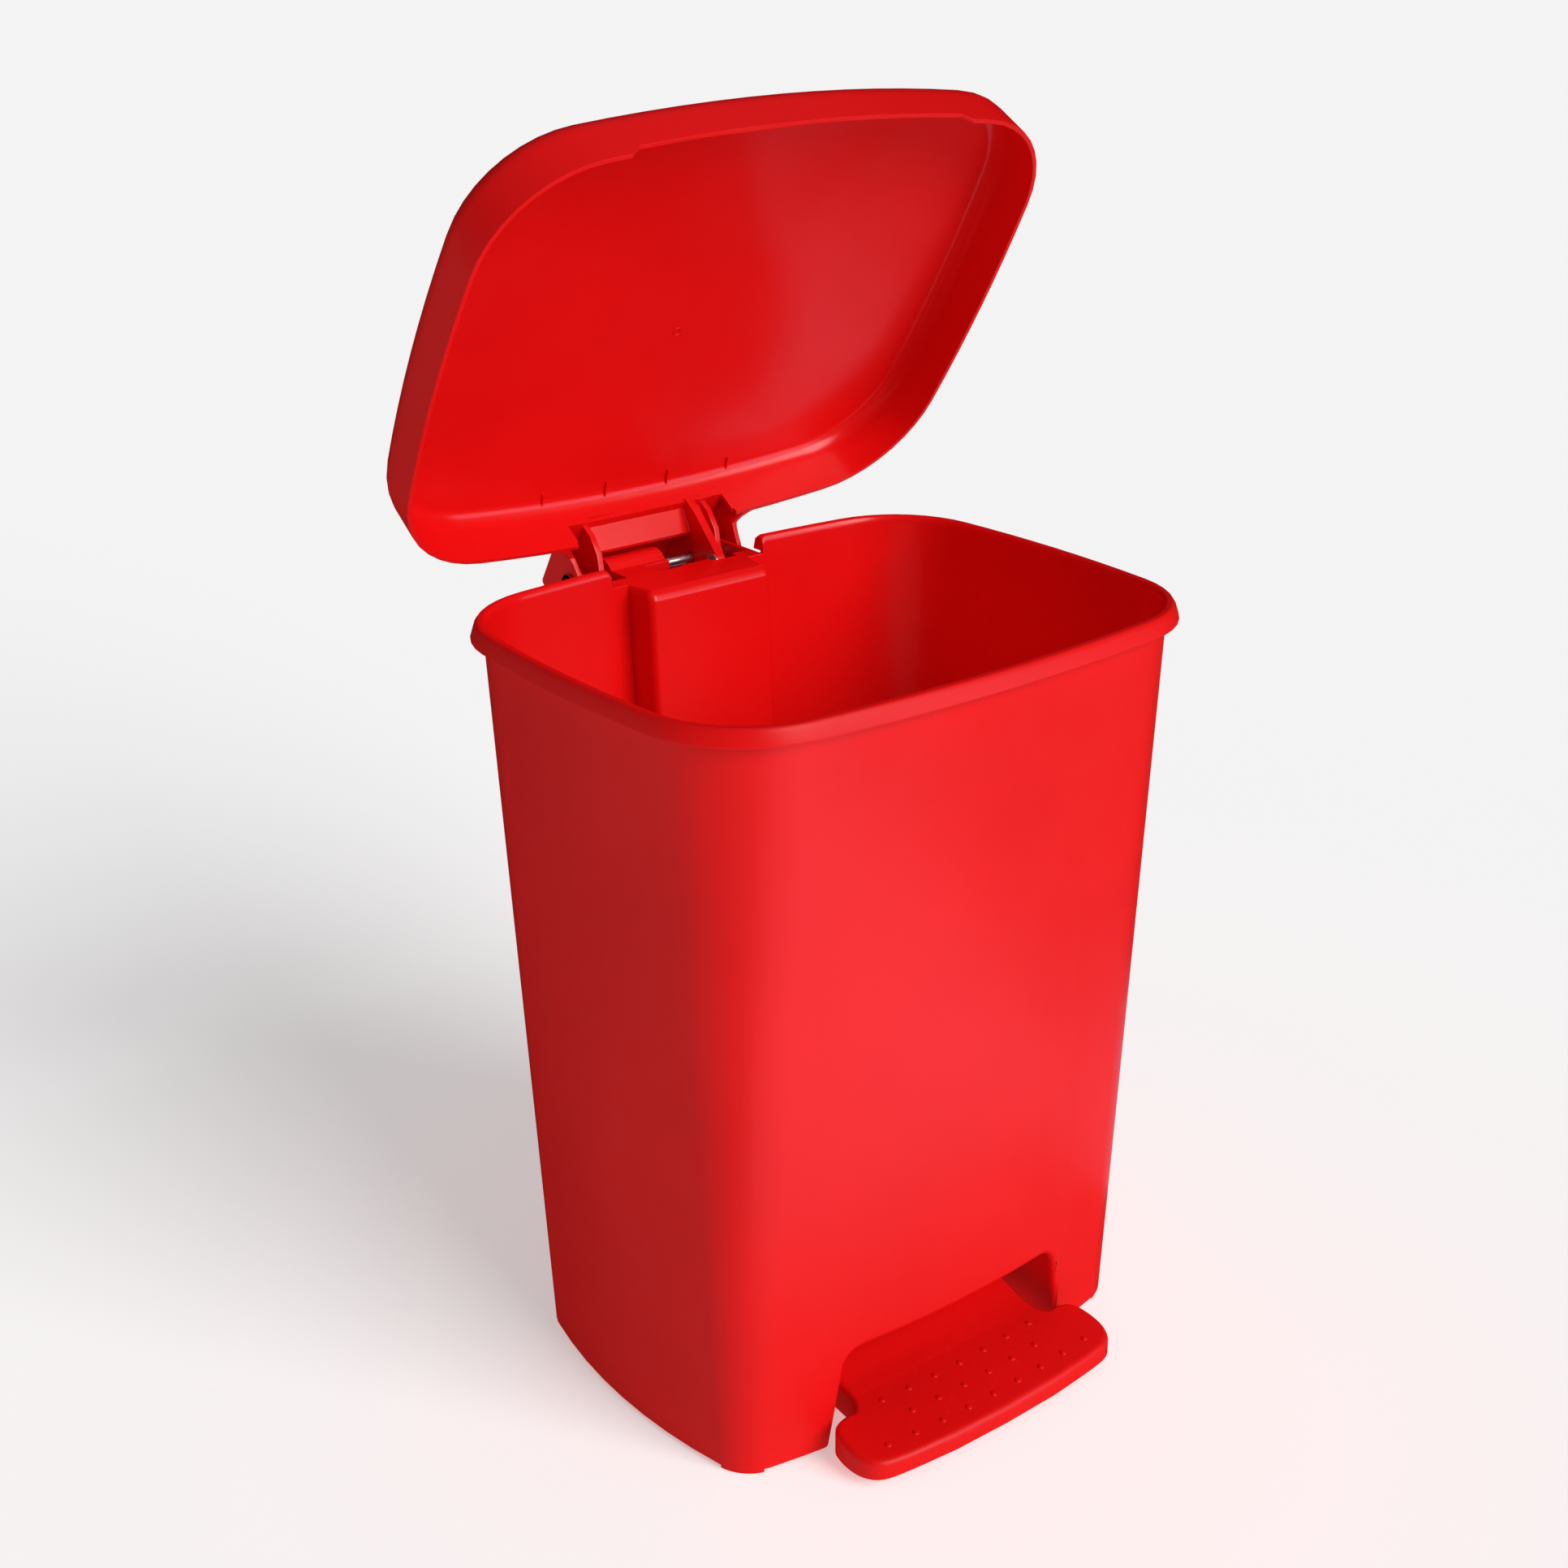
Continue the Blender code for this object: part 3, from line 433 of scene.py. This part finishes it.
for pair, sides, bore, body in (("hinge", ("left", "right"), 0.0031, "bucket"),
                                ("axle", ("left", "right"), 0.0041, "bucket"),
                                ("rod", ("lower", "upper"), 0.0021, "rod")):
    for side in sides:
        push_nut(f"{pair}_nut_{side}", f"{pair}_push_nut_{side}", bore, body)


# ------------------------------------------------------------------ lift rod
# One length of zinc-plated steel wire in the rear channel, bent to a hook at each end: the
# lower hook turns in the pedal's lever and the upper one pulls the lid's crank.
rod = blank_from("lift_rod", "lift_wire")
bpy.ops.object.shade_smooth_by_angle(angle=math.radians(60))
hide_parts("lift_rod")
dress(rod, zinc, "rod")


# ------------------------------------------------------------------ lid
# One moulding in the same red plastic: a domed panel with a straight skirt, a finger recess in
# the front edge, and a hollow tongue at the rear that hides the hinge ears and the crank.
lid_edge = 0.419            # height of the skirt's edge with the lid shut
lid_swing = math.radians(-58)
opened = (Matrix.Translation(hinge) @ Matrix.Rotation(lid_swing, 4, "X")
          @ Matrix.Translation(-hinge))


def swing_open(piece):
    """Turn a piece made on the closed lid to where it is with the lid open."""
    take(piece)
    piece.matrix_world = opened @ piece.matrix_world
    bpy.ops.object.transform_apply(location=True, rotation=True, scale=True)
    return piece


lid = blank_from("lid", "lid_moulding")
soften_rest(lid, 0.0003)
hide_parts("lid")
lid_core = opened @ Vector((0.0, middle_y, lid_edge + 0.012))
dress(lid, satin_red, "lid", smooth_red, lambda p: lid_core)


# ------------------------------------------------------------------ marks inside the lid
# Left by the mould in the lid's inner face: a round gate mark, two ejector rings, and four
# short gussets across the rear crease.
def mould_ring(name, x, y, up, radius, tall):
    ring = turned(name, 40, radius, tall * 2, (x, y, up), "Z")
    for face in open_up(ring, "FACE").faces:
        face.select_set(face.normal.z < -0.9)
    bmesh.update_edit_mesh(ring.data)
    bpy.ops.mesh.inset(thickness=radius * 0.28)
    bpy.ops.mesh.extrude_region_move(TRANSFORM_OT_translate={"value": (0.0, 0.0, tall * 0.9)})
    bpy.ops.object.mode_set(mode="OBJECT")
    soften_rest(ring, tall * 0.28, 3)
    swing_open(ring)
    return dress(ring, smooth_red, "lid")


mould_ring("lid_gate_mark", 0.0, 0.007, lid_edge + 0.0419, 0.0028, 0.0007)
mould_ring("lid_ejector_ring_left", -0.084, -0.096, lid_edge + 0.0385, 0.0022, 0.0003)
mould_ring("lid_ejector_ring_inner", -0.070, -0.104, lid_edge + 0.0385, 0.0022, 0.0003)
crease_y = 0.1085
crease_up = lid_edge + 0.0304
gusset_size = (0.0009, 0.0095, 0.0022)
for index, x in enumerate((-0.063, -0.021, 0.021, 0.063)):
    gusset = block(f"lid_gusset_{index + 1}", (x, crease_y, crease_up), gusset_size,
                   math.radians(-14))
    round_off(gusset, lambda p, d, turn: p.z < crease_up, 0.0004, 3)
    soften_rest(gusset, 0.0002)
    swing_open(gusset)
    dress(gusset, smooth_red, "lid")


# ------------------------------------------------------------------ pedal
# One moulding in red plastic: a tread pad with round ears and a shallow skirt, a waisted arm
# that runs back through the tunnel, and a forked lever behind the axle.
pad_skirt = 0.0125          # height above which the pad's edges are rounded
pad_back = -0.055           # where the pad and its arm end
pedal = blank_from("pedal", "foot_pedal")
round_off(pedal, lambda p, d, turn: turn > 0 and p.z > pad_skirt and p.y < pad_back,
          0.0034, 5, 40)
soften_rest(pedal, 0.0004)
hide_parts("pedal")
dress(pedal, satin_red, "pedal")


# ------------------------------------------------------------------ tread dots
# Twenty-two low domes moulded on the pad in three rows that bow back at their ends, to give
# the shoe a grip. One is shaped and the others are copies of it.
tread_slope = math.radians(8)
dot_radius, dot_depth = 0.00185, 0.0030
dot_sunk = 0.0008           # how far a dot's middle lies below the tread
dot_pitch = 0.018
row_bow = 0.67
rows = ((7, -0.1310, 0.0227), (6, -0.1449, 0.0208), (9, -0.1587, 0.0188))
first_dot = turned("tread_dot", 24, dot_radius, dot_depth, (0.0, 0.0, 0.0), "Z")
round_off(first_dot, lambda p, d, turn: p.z > dot_depth / 2 - 0.0001, 0.0011, 5)
take(first_dot)
first_dot.rotation_euler = (tread_slope, 0.0, 0.0)
bpy.ops.object.transform_apply(location=True, rotation=True, scale=True)
dots = []
for count, y, up in rows:
    for place in range(count):
        x = (place - (count - 1) / 2) * dot_pitch
        back = row_bow * x * x
        take(first_dot)
        bpy.ops.object.duplicate()
        dot = bpy.context.object
        dot.location = (x, y + back, up + back * math.tan(tread_slope) - dot_sunk)
        bpy.ops.object.transform_apply(location=True, rotation=True, scale=True)
        dots.append(dot)
bpy.data.objects.remove(first_dot)
take(dots[0])
for dot in dots:
    dot.select_set(True)
bpy.ops.object.join()
tread = bpy.context.object
tread.name = "pedal_tread_dots"
tread.data.name = tread.name
bpy.ops.object.shade_smooth_by_angle(angle=math.radians(60))
dress(tread, satin_red, "pedal")


# ------------------------------------------------------------------ floor, light and camera
# A pale sweep under the bin, one broad soft key from the front right, and dim light all round.
bpy.ops.object.select_all(action="DESELECT")
bpy.ops.mesh.primitive_plane_add(size=60.0, location=(0.0, 0.0, 0.0))
floor = bpy.context.object
floor.name = "floor"
pale = Paint("pale floor")
pale.shader.inputs["Base Color"].default_value = (0.93, 0.93, 0.93, 1.0)
pale.shader.inputs["Roughness"].default_value = 0.9
pale.shader.inputs["Specular IOR Level"].default_value = 0.0
pale.shader.inputs["Emission Color"].default_value = (1.0, 1.0, 1.0, 1.0)
pale.shader.inputs["Emission Strength"].default_value = 0.40
floor.data.materials.append(pale.material)
floor.visible_glossy = False

CARD_LIGHT = (0.72, 0.76, 1.0, 1.0)


def card(name, middle, size, glow, turn=(0.0, 0.0, 0.0)):
    """A glowing board that only the gloss of the plastic and the steel picks up."""
    bpy.ops.object.select_all(action="DESELECT")
    bpy.ops.mesh.primitive_plane_add(size=1.0, location=middle, rotation=turn)
    board = bpy.context.object
    board.name = name
    board.scale = (size[0], size[1], 1.0)
    white = Paint(name)
    white.shader.inputs["Base Color"].default_value = (0.0, 0.0, 0.0, 1.0)
    white.shader.inputs["Emission Color"].default_value = CARD_LIGHT
    white.shader.inputs["Emission Strength"].default_value = glow
    board.data.materials.append(white.material)
    board.visible_camera = False
    board.visible_diffuse = False
    board.visible_shadow = False
    board.visible_transmission = False


card("front_card", (0.02, -0.92, 0.0004), (0.62, 1.26), 1.9)
card("side_card", (0.36, -0.03, 0.0004), (0.26, 0.50), 0.6)
card("tall_card", (1.15, -1.85, 0.62), (1.1, 0.9), 3.0, (math.radians(90), 0.0, math.radians(30)))
card("ceiling_card", (0.0, 0.0, 2.6), (4.0, 4.0), 0.14)


def lamp(name, kind, energy):
    """Add a light and leave its own place and size to the caller."""
    light = bpy.data.lights.new(name, kind)
    light.energy = energy
    holder = bpy.data.objects.new(name, light)
    bpy.context.scene.collection.objects.link(holder)
    return holder


key = lamp("key", "SUN", 2.35)
key.data.angle = math.radians(38)
key.rotation_euler = Vector((0.18, -0.84, 0.50)).to_track_quat("Z", "Y").to_euler()
inner = lamp("inner fill", "POINT", 0.11)
inner.data.shadow_soft_size = 0.07
inner.location = (0.0, -0.03, 0.34)
inner.visible_camera = False
inner.visible_glossy = False

sky = bpy.data.worlds.new("studio")
bpy.context.scene.world = sky
sky.use_nodes = True
sky.node_tree.nodes["Background"].inputs["Color"].default_value = (1.0, 1.0, 1.0, 1.0)
sky.node_tree.nodes["Background"].inputs["Strength"].default_value = 0.16
sky.cycles_visibility.glossy = False

lens = bpy.data.cameras.new("camera")
lens.lens = 50.9
lens.shift_x = -0.0044
camera = bpy.data.objects.new("camera", lens)
camera.location = (-0.6853, -0.8654, 0.7857)
camera.rotation_euler = (math.radians(67.34), math.radians(0.537), math.radians(-38.145))
bpy.context.scene.collection.objects.link(camera)
bpy.context.scene.camera = camera
bpy.context.scene.view_settings.view_transform = "Standard"
